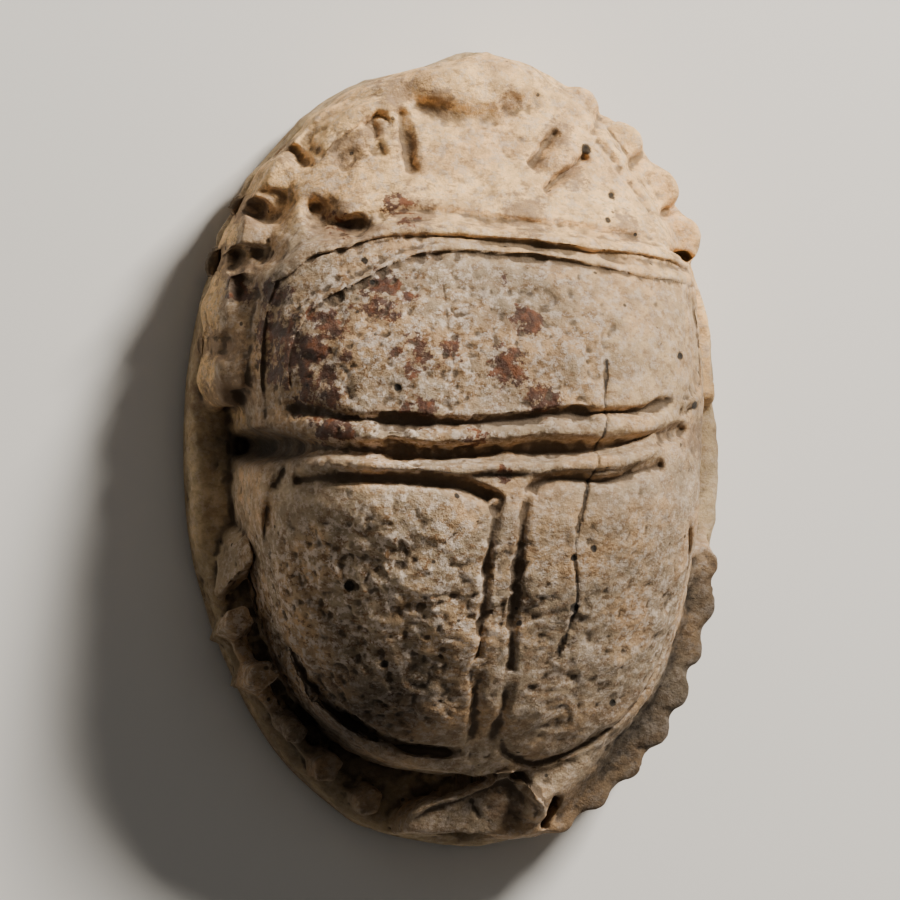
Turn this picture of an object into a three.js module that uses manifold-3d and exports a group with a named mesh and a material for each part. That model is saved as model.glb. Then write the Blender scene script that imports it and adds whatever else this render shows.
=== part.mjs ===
// A scarab amulet carved from one piece of steatite.
// Millimetres, +Z up, +Y towards the beetle's head, origin under the middle of the oval base.
import * as THREE from 'three';
import { mergeVertices } from 'three/addons/utils/BufferGeometryUtils.js';
import Module from 'manifold-3d';

const wasm = await Module();
wasm.setup();

// Driving dimensions
const LENGTH = 20;
const WIDTH = 13.8;
const HEIGHT = 9.1;
const OVAL_POWER = 2.1; // how full the base oval is: 2 would be an ellipse
const SLAB_HEIGHT = 1.75;
const SLAB_EDGE = 0.35; // rounding along the slab's rims
const BODY_FOOT = 1.2; // the body starts inside the slab
const RELIEF = 0.3; // how far the plates stand above the grooves
const RIDGE = 0.22; // how far a border ridge stands above its plate
const RIDGE_WIDTH = 0.42;
const BORE_DIAMETER = 1.44; // lengthwise hole for the string
const BORE_HEIGHT = 2.45;
const BACK_RINGS = 28; // facets of the domed back from head to tail
const BACK_SPOKES = 24; // and around it
const BACK_INSET = 0.15; // the back ends this far inside the slab's two ends
const BACK_SHARE = 0.985; // and stays within this share of the base oval
const SLAB_POINTS = 84; // facets around the slab
const CLEAR = 2; // how far cutting shapes reach beyond the stone

// Height of the back along the middle, from the front of the head to the tail: [y, z]
const SPINE = [
  [10, 3.3], [9.4, 3.7], [8.5, 4.1], [7.2, 4.85], [6.0, 5.8], [4.8, 6.8], [2.6, 8.05],
  [0, 8.55], [-1.4, HEIGHT - 0.4], [-3.2, 8.1], [-5.1, 7.0], [-6.6, 5.85], [-7.7, 4.7],
  [-8.5, 3.8], [-9.4, 3.5], [-10, 3.4],
];

// Half width of the carved body along its length: [y, x]
const FLANK = [
  [10, 1.2], [9, 3.4], [7.6, 4.6], [6, 5.4], [4.4, 5.75], [2, 5.95], [0, 5.95],
  [-2, 5.9], [-4, 5.6], [-5.6, 5.0], [-6.9, 4.2], [-8, 3.1], [-9, 2.3], [-10, 1.4],
];
const FLANK_FOOT = 2.3; // height at which the flank meets its half width

// Curve through stations [y, value]; monotone between neighbours
function along(stations, y) {
  const last = stations.length - 1;
  if (y >= stations[0][0]) return stations[0][1];
  if (y <= stations[last][0]) return stations[last][1];
  const i = stations.findIndex((station) => station[0] < y);
  const [y0, v0] = stations[i - 1];
  const [y1, v1] = stations[i];
  const slopeAt = (k) => {
    const [ya, va] = stations[Math.max(k - 1, 0)];
    const [yb, vb] = stations[Math.min(k + 1, last)];
    return (vb - va) / (yb - ya);
  };
  const span = y1 - y0;
  const t = (y - y0) / span;
  const a = v0 + slopeAt(i - 1) * span * t;
  const b = v1 - slopeAt(i) * span * (1 - t);
  const s = t * t * (3 - 2 * t);
  return a * (1 - s) + b * s;
}

// Half width of the base oval at y, for an oval scaled by grow
function ovalHalfWidth(y, grow = 1) {
  const t = Math.min(Math.abs(y) / (grow * LENGTH / 2), 1);
  return (grow * WIDTH / 2) * (1 - t ** OVAL_POWER) ** (1 / OVAL_POWER);
}

// A point of the base oval by angle from +X, drawn in by inset
function ovalPoint(angle, inset = 0) {
  const power = 2 / OVAL_POWER;
  const cos = Math.cos(angle);
  const sin = Math.sin(angle);
  const x = (WIDTH / 2 - inset) * Math.sign(cos) * Math.abs(cos) ** power;
  const y = (LENGTH / 2 - inset) * Math.sign(sin) * Math.abs(sin) ** power;
  return new THREE.Vector2(x, y);
}

// A closed geometry becomes a solid that can be joined and cut
function toSolid(geometry) {
  const bare = geometry.index ? geometry.clone() : geometry;
  bare.deleteAttribute('normal');
  bare.deleteAttribute('uv');
  const merged = mergeVertices(bare, 1e-4);
  const vertProperties = new Float32Array(merged.attributes.position.array);
  const triVerts = new Uint32Array(merged.index.array);
  return new wasm.Manifold(new wasm.Mesh({ numProp: 3, vertProperties, triVerts }));
}

function toGeometry(solid) {
  const mesh = solid.getMesh();
  const geometry = new THREE.BufferGeometry();
  geometry.setAttribute('position', new THREE.BufferAttribute(mesh.vertProperties, 3));
  geometry.setIndex(new THREE.BufferAttribute(mesh.triVerts, 1));
  geometry.computeVertexNormals();
  return geometry;
}

// An outline of [x, y] points stood up from low to high
function prism(points, low, high) {
  const shape = new THREE.Shape(points.map((p) => new THREE.Vector2(p[0] ?? p.x, p[1] ?? p.y)));
  const geometry = new THREE.ExtrudeGeometry(shape, { depth: high - low, bevelEnabled: false });
  geometry.translate(0, 0, low);
  return toSolid(geometry);
}

// The domed back, lifted by lift above the groove level and drawn in by inset at the flanks
function back(lift, inset = 0) {
  const geometry = new THREE.SphereGeometry(1, BACK_SPOKES, BACK_RINGS);
  const position = geometry.attributes.position;
  for (let i = 0; i < position.count; i += 1) {
    // the sphere's poles lie on Y; its upper half becomes the back and its lower half a flat foot
    const y = position.getY(i) * (LENGTH / 2 - BACK_INSET);
    const ring = Math.hypot(position.getX(i), position.getZ(i)) || 1e-9;
    const across = position.getX(i) / ring;
    const up = position.getZ(i) / ring;
    const halfWidth = Math.min(along(FLANK, y) - inset, ovalHalfWidth(y, BACK_SHARE));
    const rise = along(SPINE, y) + lift - FLANK_FOOT;
    const flat = ring < 1e-6 ? 0 : 1;
    const x = across * halfWidth * flat;
    const z = up > 1e-6 ? FLANK_FOOT + rise * up : FLANK_FOOT + (FLANK_FOOT - BODY_FOOT) * up;
    position.setXYZ(i, x, y, flat ? z : FLANK_FOOT);
  }
  return toSolid(geometry);
}

// A band of the given width along points, as an outline
function bandOutline(points, width) {
  const curve = new THREE.CatmullRomCurve3(points.map(([x, y]) => new THREE.Vector3(x, y, 0)));
  const steps = points.length * 2;
  const left = [];
  const right = [];
  for (let i = 0; i <= steps; i += 1) {
    const at = curve.getPoint(i / steps);
    const heading = curve.getTangent(i / steps);
    left.push([at.x - heading.y * width / 2, at.y + heading.x * width / 2]);
    right.push([at.x + heading.y * width / 2, at.y - heading.x * width / 2]);
  }
  return left.concat(right.reverse());
}

// What lies above an outline, up to the back lifted by lift
function raised(outline, lift, inset = 0) {
  return back(lift, inset).intersect(prism(outline, BODY_FOOT, HEIGHT + CLEAR));
}

// What a groove along points takes away, down to depth below the back
const GROOVE_FLOOR = SLAB_HEIGHT + 0.3; // no groove is cut lower than this
function groove(points, width, depth) {
  return prism(bandOutline(points, width), GROOVE_FLOOR, HEIGHT + CLEAR).subtract(back(-depth));
}

// The oval slab that everything stands on
function makeSlab() {
  const points = [];
  for (let i = 0; i < SLAB_POINTS; i += 1) {
    points.push(ovalPoint((i / SLAB_POINTS) * 2 * Math.PI, SLAB_EDGE));
  }
  const geometry = new THREE.ExtrudeGeometry(new THREE.Shape(points), {
    depth: SLAB_HEIGHT - 2 * SLAB_EDGE,
    bevelThickness: SLAB_EDGE,
    bevelSize: SLAB_EDGE,
    bevelSegments: 3,
  });
  geometry.translate(0, 0, SLAB_EDGE);
  return toSolid(geometry);
}

// Outline of both wing cases together, drawn in by inset and closed at the front at y = front
const WING_HALF_WIDTH = 5.72;
const WING_LENGTH = 8.15;
const WING_POWER = 2.7;
function wingEdge(angle, inset) {
  const cos = Math.cos(angle);
  const sin = Math.sin(angle);
  const power = 2 / WING_POWER;
  const x = (WING_HALF_WIDTH - inset) * Math.sign(cos) * Math.abs(cos) ** power;
  return [x, -(WING_LENGTH - inset) * sin ** power];
}

// One wing plate: side is -1 for the left and 1 for the right
const SUTURE = { half: 0.36, flare: 0.6, flareFrom: -2.2 };
const WING_FRONT = -0.95;
const WING_INSET = 0.52; // from the wing cases' edge to the plates: the rim and its groove
const WING_STEPS = 20;
function wingPlate(side) {
  const points = [];
  for (let i = 2; i <= WING_STEPS; i += 1) {
    const [x, y] = wingEdge((i / WING_STEPS) * (Math.PI / 2), WING_INSET);
    if (y < WING_FRONT - 0.25 && x > SUTURE.half) points.push([side * x, y]);
  }
  const last = points[points.length - 1][1];
  points.push([side * SUTURE.half, last]);
  points.push([side * SUTURE.half, SUTURE.flareFrom]);
  points.push([side * (SUTURE.half + SUTURE.flare * 0.35), WING_FRONT - 0.45]);
  points.push([side * (SUTURE.half + SUTURE.flare), WING_FRONT]);
  points.push([side * (WING_HALF_WIDTH - WING_INSET - 0.55), WING_FRONT - 0.05]);
  return side > 0 ? points : points.reverse();
}

// Wing cases: plates, the strip between them, the rim around them and the bar across their front
const WING_RIM_SPREAD = 0.12; // the rim stands out past the flank
const STRIP_WIDTH = 0.34;
function makeWings() {
  const rim = [];
  const steps = 2 * WING_STEPS;
  for (let i = 1; i < steps; i += 1) rim.push(wingEdge((i / steps) * Math.PI, RIDGE_WIDTH / 2));
  const strip = [[-0.16, -1.2], [-0.1, -4], [0, -7.8]];
  const bar = [[-4.9, -0.45], [-2.4, -0.36], [0, -0.42], [2.6, -0.2], [4.6, 0.05]];
  return [
    raised(wingPlate(-1), RELIEF),
    raised(wingPlate(1), RELIEF),
    raised(bandOutline(rim, RIDGE_WIDTH), RELIEF, -WING_RIM_SPREAD),
    raised(bandOutline(strip, STRIP_WIDTH), RELIEF),
    raised(bandOutline(bar, RIDGE_WIDTH), RELIEF + RIDGE / 2),
  ];
}

// Pronotum: one broad plate with a double rim in front and a single rim behind
const PRONOTUM = { half: 5.8, front: 5.5, frontSide: 4.55, rear: 0.8, rearSide: 1.0 };
const PRONOTUM_RIM = { outer: 0.34, inner: 0.26, side: 0.3, sideSpread: 0.15 };
function frontArc(drop, half) {
  const points = [];
  for (let i = -4; i <= 4; i += 1) {
    const t = i / 4;
    points.push([t * half, PRONOTUM.front - drop - (PRONOTUM.front - PRONOTUM.frontSide) * t ** 2]);
  }
  return points;
}
function makePronotum() {
  const plate = frontArc(0.6, PRONOTUM.half - 0.5);
  plate.push([PRONOTUM.half - 0.3, 2.6], [PRONOTUM.half - 0.7, PRONOTUM.rearSide]);
  plate.push([0, PRONOTUM.rear], [-PRONOTUM.half + 0.4, PRONOTUM.rearSide], [-PRONOTUM.half + 0.3, 2.8]);
  const rear = [[-5.6, 0.62], [-2.9, 0.42], [0, 0.36], [2.7, 0.52], [4.9, 0.8]];
  const side = (sign) => {
    const line = [[sign * 5.55, 4.3], [sign * 5.75, 2.6], [sign * PRONOTUM.half, 0.9]];
    return raised(bandOutline(line, PRONOTUM_RIM.side), RELIEF, -PRONOTUM_RIM.sideSpread);
  };
  return [
    raised(plate, RELIEF),
    raised(bandOutline(frontArc(0.02, 5.6), PRONOTUM_RIM.outer), RELIEF + RIDGE),
    raised(bandOutline(frontArc(0.42, 5.5), PRONOTUM_RIM.inner), RELIEF + RIDGE / 2),
    raised(bandOutline(rear, RIDGE_WIDTH), RELIEF + RIDGE / 2),
    side(-1),
    side(1),
  ];
}

// Head: a plate with cheeks, an eye on each side and the shield-shaped front (clypeus)
const HEAD_LIFT = 0.28;
const CLYPEUS = { half: 1.85, rear: 8.75, length: 1.2, fullness: 0.6, lift: 0.3, steps: 12 };
const EYE = { halfX: 0.4, halfY: 0.78, halfZ: 0.5, turn: 0.25, x: 2.25, y: 7.75, z: 4.25 };
function makeHead() {
  const plate = [[-1.75, 8.45], [-1.6, 6.9], [-2.6, 6.1], [2.6, 6.1], [1.35, 7.0], [1.95, 8.4]];
  const clypeus = [];
  for (let i = 0; i <= CLYPEUS.steps; i += 1) {
    const angle = (i / CLYPEUS.steps) * Math.PI;
    const reach = CLYPEUS.length * Math.sin(angle) ** CLYPEUS.fullness;
    clypeus.push([CLYPEUS.half * Math.cos(angle), CLYPEUS.rear + reach]);
  }
  const parts = [raised(plate.reverse(), HEAD_LIFT), raised(clypeus, CLYPEUS.lift)];
  for (const side of [-1, 1]) {
    const eye = new THREE.SphereGeometry(1, 14, 10);
    eye.scale(EYE.halfX, EYE.halfY, EYE.halfZ);
    eye.rotateZ(side * -EYE.turn);
    eye.translate(side * EYE.x, EYE.y, EYE.z);
    parts.push(toSolid(eye));
  }
  return parts;
}

// A leg follows the base oval from one angle to another, its outer edge cut into teeth.
// Angles are in degrees from the widest place, positive towards the head.
const LEGS = [
  { side: 1, from: 68, to: 30, teeth: 4, width: 1.15, top: 3.1 },
  { side: 1, from: 25, to: 7, teeth: 1, width: 0.95, top: 2.75 },
  { side: 1, from: -12, to: -72, teeth: 8, width: 1.1, top: 3.1 },
  { side: -1, from: 70, to: 7, teeth: 5, width: 1.15, top: 3.65 },
  { side: -1, from: -20, to: -68, teeth: 5, width: 0.85, top: 3.1 },
];
const LEG_INSET = 0.06; // from the base oval to the tips of the teeth
const LEG_ROOT = SLAB_HEIGHT - 0.3;
const TOOTH_DEPTH = 0.34;
const TOOTH_FULLNESS = 0.6; // a smaller number gives broader teeth and narrower cuts
const LEG_TAPER = 0.25; // share of its width that a leg loses towards its ends
const POINTS_PER_TOOTH = 5;
function legOutline({ side, from, to, teeth, width }) {
  const outer = [];
  const inner = [];
  const steps = teeth * POINTS_PER_TOOTH;
  for (let i = 0; i <= steps; i += 1) {
    const t = i / steps;
    const angle = THREE.MathUtils.degToRad(from + (to - from) * t);
    const phase = (t * teeth) % 1;
    const notch = TOOTH_DEPTH * (1 - Math.abs(Math.sin(Math.PI * phase)) ** TOOTH_FULLNESS);
    const taper = 1 - LEG_TAPER + LEG_TAPER * Math.sin(Math.PI * t);
    const out = ovalPoint(angle, LEG_INSET + notch);
    const into = ovalPoint(angle, LEG_INSET + width * taper);
    outer.push([side * out.x, out.y]);
    inner.push([side * into.x, into.y]);
  }
  return outer.concat(inner.reverse());
}
function makeLegs() {
  return LEGS.map((leg) => prism(legOutline(leg), LEG_ROOT, leg.top));
}

// Tail: a small rounded shield standing behind the wing cases
const TAIL = {
  x: 0.05, y: -9.15, halfX: 1.8, halfY: 0.95, rear: -9.8, rearHalf: 1.6, lift: 0.35, top: 4.2, steps: 14,
};
function makeTail() {
  const points = [];
  for (let i = 0; i <= TAIL.steps; i += 1) {
    const angle = Math.PI * (1 - i / TAIL.steps);
    points.push([TAIL.x + TAIL.halfX * Math.cos(angle), TAIL.y + TAIL.halfY * Math.sin(angle)]);
  }
  points.push([TAIL.rearHalf, TAIL.rear], [-TAIL.rearHalf, TAIL.rear]);
  return raised(points, TAIL.lift).intersect(prism(points, BODY_FOOT, TAIL.top));
}

// The string hole runs from the head to the tail
const BORE_SIDES = 20;
function makeBore() {
  const radius = BORE_DIAMETER / 2;
  const bore = new THREE.CylinderGeometry(radius, radius, LENGTH + 2 * CLEAR, BORE_SIDES);
  bore.translate(0, 0, BORE_HEIGHT);
  return toSolid(bore);
}

// Deep grooves: between pronotum and wings, behind the clypeus and beside each eye
const WAIST_CUT = { width: 0.32, depth: 0.15 };
const HEAD_CUT = { width: 0.3, depth: 0.1 };
function makeGrooves() {
  const waist = [[-6.3, 0.2], [-3, 0.02], [0, -0.02], [2.6, 0.14], [5, 0.45]];
  const brow = [[-1.6, 8.75], [-0.8, 8.5], [0.2, 8.45], [1.5, 8.75]];
  const eyes = [
    [[-1.95, 8.5], [-1.9, 7.7], [-1.75, 7.0]],
    [[2.1, 8.1], [1.75, 7.5], [1.4, 7.1]],
    [[2.9, 7.5], [2.1, 6.95], [1.6, 6.6]],
  ];
  const onHead = [brow, ...eyes].map((line) => groove(line, HEAD_CUT.width, HEAD_CUT.depth));
  return [groove(waist, WAIST_CUT.width, WAIST_CUT.depth), ...onHead];
}

function makeScarab() {
  let solid = makeSlab().add(back(0));
  for (const part of [...makeWings(), ...makePronotum(), ...makeHead(), ...makeLegs(), makeTail()]) {
    solid = solid.add(part);
  }
  for (const cut of [...makeGrooves(), makeBore()]) solid = solid.subtract(cut);
  return solid;
}

const steatite = new THREE.MeshStandardMaterial({ color: 0xa8977a, roughness: 0.8, metalness: 0 });
const scarab = new THREE.Mesh(toGeometry(makeScarab()), steatite);
scarab.name = 'scarab';

const group = new THREE.Group();
group.add(scarab);

export default group;
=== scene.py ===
import bpy
import math
import numpy as np
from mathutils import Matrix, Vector


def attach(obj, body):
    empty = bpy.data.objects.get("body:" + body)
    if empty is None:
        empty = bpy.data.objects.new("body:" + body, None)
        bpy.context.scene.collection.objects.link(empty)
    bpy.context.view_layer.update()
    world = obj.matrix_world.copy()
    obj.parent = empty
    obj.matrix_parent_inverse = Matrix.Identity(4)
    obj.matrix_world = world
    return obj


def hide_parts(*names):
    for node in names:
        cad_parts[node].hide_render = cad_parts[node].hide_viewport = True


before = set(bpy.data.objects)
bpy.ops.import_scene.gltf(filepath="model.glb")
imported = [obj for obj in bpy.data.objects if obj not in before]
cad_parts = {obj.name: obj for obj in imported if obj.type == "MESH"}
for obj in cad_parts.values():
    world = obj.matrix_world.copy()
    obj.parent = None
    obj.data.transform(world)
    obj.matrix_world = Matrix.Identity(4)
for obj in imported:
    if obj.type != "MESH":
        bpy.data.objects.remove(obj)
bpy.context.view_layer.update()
mm = 0.001  # the carving is worked out in millimetres and scaled once at the end

# small tools

def smooth(low, high, value):
    t = np.clip((value - low) / (high - low), 0, 1)
    return t * t * (3 - 2 * t)

def alongStations(stations, at):
    # soft curve through (position, value) stations
    table = np.array(sorted(stations))
    steps = np.linspace(table[0, 0], table[-1, 0], 400)
    values = np.interp(steps, table[:, 0], table[:, 1])
    kernel = np.hanning(23)
    padded = np.pad(values, 11, mode="edge")
    soft = np.convolve(padded, kernel / kernel.sum(), mode="valid")
    return np.interp(at, steps, soft)

def lumps(points, size, seed):
    # smooth noise between -1 and 1, the same on every run
    scaled = points / size
    cell = np.floor(scaled).astype(np.int64)
    part = scaled - cell
    part = part * part * (3 - 2 * part)
    total = np.zeros(len(points))
    for corner in range(8):
        step = np.array([corner & 1, corner >> 1 & 1, corner >> 2 & 1])
        key = cell + step
        mixed = key[:, 0] * 73856093 ^ key[:, 1] * 19349663 ^ key[:, 2] * 83492791 ^ seed * 2654435761
        mixed = (mixed ^ mixed >> 13) * 1274126177 & 0xFFFFFFFF
        mixed = (mixed ^ mixed >> 16) & 0xFFFF
        weight = np.prod(np.where(step, part, 1 - part), axis=1)
        total += weight * (mixed / 32767.5 - 1)
    return total

def grain(points, size, seed, octaves=3):
    return sum(lumps(points, size / 2 ** i, seed + i) / 2 ** i for i in range(octaves)) / 1.6

def softLine(points, parts=6):
    # more points on a smooth curve through the given ones
    p = np.array(points, float)
    if len(p) < 3:
        return p
    ends = np.vstack([2 * p[0] - p[1], p, 2 * p[-1] - p[-2]])
    out = []
    for i in range(len(p) - 1):
        a, b, c, d = ends[i:i + 4]
        for t in np.arange(parts) / parts:
            out.append(0.5 * (2 * b + (c - a) * t + (2 * a - 5 * b + 4 * c - d) * t * t
            + (3 * b - a - 3 * c + d) * t ** 3))
    out.append(p[-1])
    return np.array(out)

def toLine(x, y, points, reach):
    # distance from each place to a line, and how far along the line that is (0 to 1)
    line = softLine(points)
    away = np.full(x.shape, 9.0)
    share = np.zeros(x.shape)
    low, high = line.min(0) - reach, line.max(0) + reach
    near = np.where((x > low[0]) & (x < high[0]) & (y > low[1]) & (y < high[1]))[0]
    px, py = x[near], y[near]
    lengths = np.hypot(*np.diff(line, axis=0).T)
    starts = np.concatenate([[0], np.cumsum(lengths)]) / max(lengths.sum(), 1e-9)
    best, at = np.full(px.shape, 9.0), np.zeros(px.shape)
    for i, (a, b) in enumerate(zip(line[:-1], line[1:])):
        d = b - a
        t = np.clip(((px - a[0]) * d[0] + (py - a[1]) * d[1]) / max(d @ d, 1e-12), 0, 1)
        gap = np.hypot(px - a[0] - t * d[0], py - a[1] - t * d[1])
        closer = gap < best
        best = np.where(closer, gap, best)
        at = np.where(closer, starts[i] + t * (starts[i + 1] - starts[i]), at)
    away[near], share[near] = best, at
    return away, share

def insideOf(x, y, points):
    # distance to an outline, positive inside it
    ring = softLine(list(points) + [points[0]])
    away = toLine(x, y, ring[::2], 3)[0]
    inside = np.zeros(x.shape, bool)
    for (ax, ay), (bx, by) in zip(ring[:-1], ring[1:]):
        crosses = (ay > y) != (by > y)
        inside ^= crosses & (x < (bx - ax) * (y - ay) / (by - ay + 1e-12) + ax)
    return np.where(inside, away, -away)

# the stone's main form

form = {
    "halfWidth": 6.9,
    "halfLength": 10.0,
    "ovalPower": 2.1,
    "slabTop": 1.75,
    "rimRound": 0.35,
    "foot": 2.3,       # height where the back would meet its flanks
    # fullness of the cross-section along the length: 2 would be a half ellipse
    "fullness": [(-10, 2.2), (-6, 2.4), (-3, 2.6), (-0.8, 2.9), (1, 3.1), (4.5, 2.9), (6, 2.5), (10, 2.4)],
    # height of the back along the middle, tail to head
    "spine": [(-10, 3.4), (-9.4, 3.6), (-8.5, 4.1), (-7.7, 5.0), (-6.6, 6.15), (-5.1, 7.3), (-3.2, 8.4),
              (-1.6, 8.95),
              (0, 8.85), (2.6, 8.35), (4.8, 7.0), (5.6, 6.3), (6.2, 5.6), (7.2, 4.95), (8.5, 4.2),
              (9.4, 3.8), (10, 3.4)],
    # half width that the back's curve aims for
    "flank": [(-10, 1.6), (-9, 2.6), (-8, 3.7), (-6.9, 4.6), (-5.6, 5.3), (-4, 5.8), (-2, 6.0), (0, 6.05),
              (2, 6.05), (4.4, 5.95), (5, 5.8), (6, 5.45), (7.6, 4.6), (9, 3.4), (10, 1.2)],
    "wingHalf": 5.72, "wingEnd": 8.15, "wingPower": 2.7,
    # where the pronotum's flank drops to the slab
    "pronotumEdge": [(0.7, 5.75), (1.4, 5.86), (3.0, 5.84), (3.8, 5.72), (4.8, 5.6)],
}
# how far the hand-cut rim stands inside the true oval: all along each side, at its flats (middle, reach
# and depth), and towards the head and tail, where the rim leans to the right
outline = {
    "left": {"all": 0.13, "flats": [(-5.5, 3.5, 0.13), (5.6, 1.6, 0.18)], "head": 0.15, "tail": -0.13},
    "right": {"all": 0.05, "flats": [(-5.5, 3.5, 0.1), (7.2, 2.4, 0.22), (3.5, 1.6, -0.1)],
              "head": -0.17, "tail": -0.15},
    "headFrom": 8.9, "tailFrom": -8.6,
}
# levels of the legs' upper faces at the rim, and their rise inwards
flesh = {"cheek": 3.0, "cheekRise": 0.85, "foreleg": 3.72, "forelegRise": 0.85, "haunch": 2.95,
         "haunchRise": 1.35,
         "rightFlank": 2.75, "leftDrop": 0.14}
knee = {"path": [(-5.4, -2.5), (-6.15, -3.6)], "top": 3.7, "fall": 1.2, "side": 2.9, "reach": 1.0}
stub = {"outline": [(4.85, 0.35), (5.8, 0.1), (5.62, -0.3), (5.05, -0.55)], "rise": 1.75}
shieldTop = {"level": 3.6, "slope": 0.42, "from": -9.0}
waistCut = {"deep": 0.66, "notch": 4.2, "shallower": 0.2, "wide": 0.3, "wider": 0.16, "reach": 1.2}
pocketDepth, clypeusRise = 0.85, 0.42
tailShield = [
    (-1.75, -9.75), (-1.6, -9.2), (-1.2, -8.85), (-0.45, -8.62), (0.1, -8.35), (0.8, -8.12),
    (1.35, -8.4), (1.85, -8.95), (1.95, -9.4), (1.8, -9.8),
]
clypeus = [
    (-1.5, 8.85), (-0.8, 8.5), (0.2, 8.38), (1.1, 8.5), (1.75, 9.0), (1.95, 9.5), (1.5, 10.2),
    (0.2, 10.4), (-1.2, 10.2), (-1.65, 9.5),
]
waist = [
    (-6.4, 0.12), (-4.8, 0.06), (-3.1, -0.02), (-1.5, -0.1), (0.2, -0.02), (2.1, 0.04), (3.6, 0.22),
    (4.7, 0.5),
]

def ovalEdge(y):
    t = np.clip(np.abs(y) / form["halfLength"], 0, 1)
    return form["halfWidth"] * (1 - t ** form["ovalPower"]) ** (1 / form["ovalPower"])

def bodyEdge(x, y):
    # half width at which the body's wall stands, tail to head
    t = np.clip(-y / form["wingEnd"], 0, 1)
    wings = form["wingHalf"] * (1 - t ** form["wingPower"]) ** (1 / form["wingPower"])
    wings -= (x < 0) * 0.24 * smooth(-1.2, -3.4, y)
    front = alongStations(form["pronotumEdge"], y)
    return np.where(y < 0.5, wings, front)

def backHeight(x, y):
    spine = alongStations(form["spine"], y)
    flank = alongStations(form["flank"], y)
    t = np.clip(np.abs(x) / flank, 0, 1)
    return form["foot"] + (spine - form["foot"]) * np.sqrt(1 - t ** alongStations(form["fullness"], y))

def sideInset(side, y):
    inset = side["all"] + sum(depth * smooth(reach, 0, np.abs(y - middle)) for middle, reach,
            depth in side["flats"])
    end = form["halfLength"]
    return inset + side["head"] * smooth(outline["headFrom"], end,
            y) + side["tail"] * smooth(outline["tailFrom"], -end, y)

def rimInset(x, y):
    share = smooth(-1.0, 0.7, x)
    return sideInset(outline["left"], y) * (1 - share) + sideInset(outline["right"], y) * share

def fleshLevel(x, y, rimGap):
    # level of the legs' upper faces beside the body, bare slab where there are none
    left, slab = x < 0, form["slabTop"]
    edge = smooth(0.1, 0.26, rimGap)
    frontEdge = smooth(-0.02, 0.16, rimGap)
    cheek = flesh["cheek"] + flesh["cheekRise"] * smooth(0.3, 2.2, rimGap)
    foreleg = flesh["foreleg"] + flesh["forelegRise"] * smooth(0.2, 0.85, rimGap)
    haunch = flesh["haunch"] + flesh["haunchRise"] * smooth(0.3, 1.7, rimGap)
    level = np.full(x.shape, slab)
    level += (cheek - slab) * smooth(4.4, 4.9, y) * np.where(y > 5.2, frontEdge, edge)
    level += left * (foreleg - slab) * smooth(1.25, 1.55, y) * smooth(4.9, 4.4, y) * edge
    level += ~left * (flesh["rightFlank"] - slab) * smooth(0.95, 1.35, y) * smooth(4.9, 4.4, y) * edge
    level += (haunch - slab) * smooth(-1.95, -2.6, y) * smooth(0.7, 1.5, x) * edge
    return level - left * flesh["leftDrop"] * smooth(-1.0, -3.5, y)

def mainHeight(x, y):
    # height of the stone's upper face before the finer carving
    rimGap = np.minimum(ovalEdge(y) - np.abs(x), (form["halfLength"] - np.abs(y)) * 1.4) - rimInset(x, y)
    back = backHeight(x, y)
    around = fleshLevel(x, y, rimGap)
    # the back's wall is steep, but runs softly into the haunch on the right
    gap = bodyEdge(x, y) - np.abs(x)
    wall = smooth(-0.03, 0.06, gap)
    soft = (x > 0) * smooth(-2.2, -3.0, y)
    wall += (smooth(-0.7, 0.5, gap) - wall) * soft
    wall = np.where(y < 0, wall * smooth(-8.3, -8.14, y), wall)
    wall = np.where(y > 4.7, smooth(-0.2, 0.7, alongStations(form["flank"], y) - 0.25 - np.abs(x)), wall)
    height = around + (np.maximum(back, around) - around) * wall
    # clypeus: a low bulge in front of the head plate
    bulge = insideOf(x, y, clypeus)
    height += np.where(bulge > -0.1, clypeusRise * np.sqrt(smooth(-0.05, 0.8, bulge)), 0) * smooth(0.0, 0.5,
                rimGap)
    # knee of the left hind leg, a wedge leaning on the wing case
    away, share = toLine(x, y, knee["path"], knee["reach"])
    wedge = knee["top"] - knee["fall"] * share - knee["side"] * away
    height = np.where(away < knee["reach"], np.maximum(wedge, height), height)
    # worn stub of the right middle leg
    inside = insideOf(x, y, stub["outline"])
    stubTop = form["slabTop"] + stub["rise"] * smooth(-0.02, 0.08, inside)
    height = np.where((inside > 0) & (height < 3.5), stubTop, height)
    # tail shield, sloping back from the wing cases, with a dark gap at its left
    shield = smooth(-0.04, 0.1, insideOf(x, y, tailShield))
    slope = shieldTop["level"] + shieldTop["slope"] * (y - shieldTop["from"])
    height = np.where(shield > 0, np.maximum(height, around + (slope - around) * shield), height)
    # the waist opens into a deep notch on the left
    away = toLine(x, y, waist, waistCut["reach"])[0]
    deep = waistCut["deep"] + waistCut["notch"] * smooth(-4.3, -5.6, x) - waistCut["shallower"] * smooth(1.5,
                4.0,
                x)
    wide = waistCut["wide"] + waistCut["wider"] * smooth(-4.9, -5.8, x)
    cut = deep * smooth(wide, wide * (0.25 + 0.3 * smooth(-4.6, -5.6, x)), away)
    height = np.where(height > 2.2, np.maximum(height - cut, form["slabTop"]), height)
    # hollow between the left foreleg and the pronotum
    pocket = np.minimum(np.hypot((x + 4.0) / 0.5, (y - 5.85) / 0.6), 0.35 + np.hypot((x + 3.3) / 0.8,
                (y - 5.6) / 0.36))
    pocket += 0.25 * lumps(np.column_stack([x, y, 0 * x]), 0.4, 60)
    height -= pocketDepth * smooth(1.2, 0.3, pocket)
    return height, rimGap

def rimRounded(height, rimGap):
    r = form["rimRound"]
    return height - r + np.sqrt(np.clip(r * r - np.clip(r - rimGap, 0, r) ** 2, 0, None))

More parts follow.
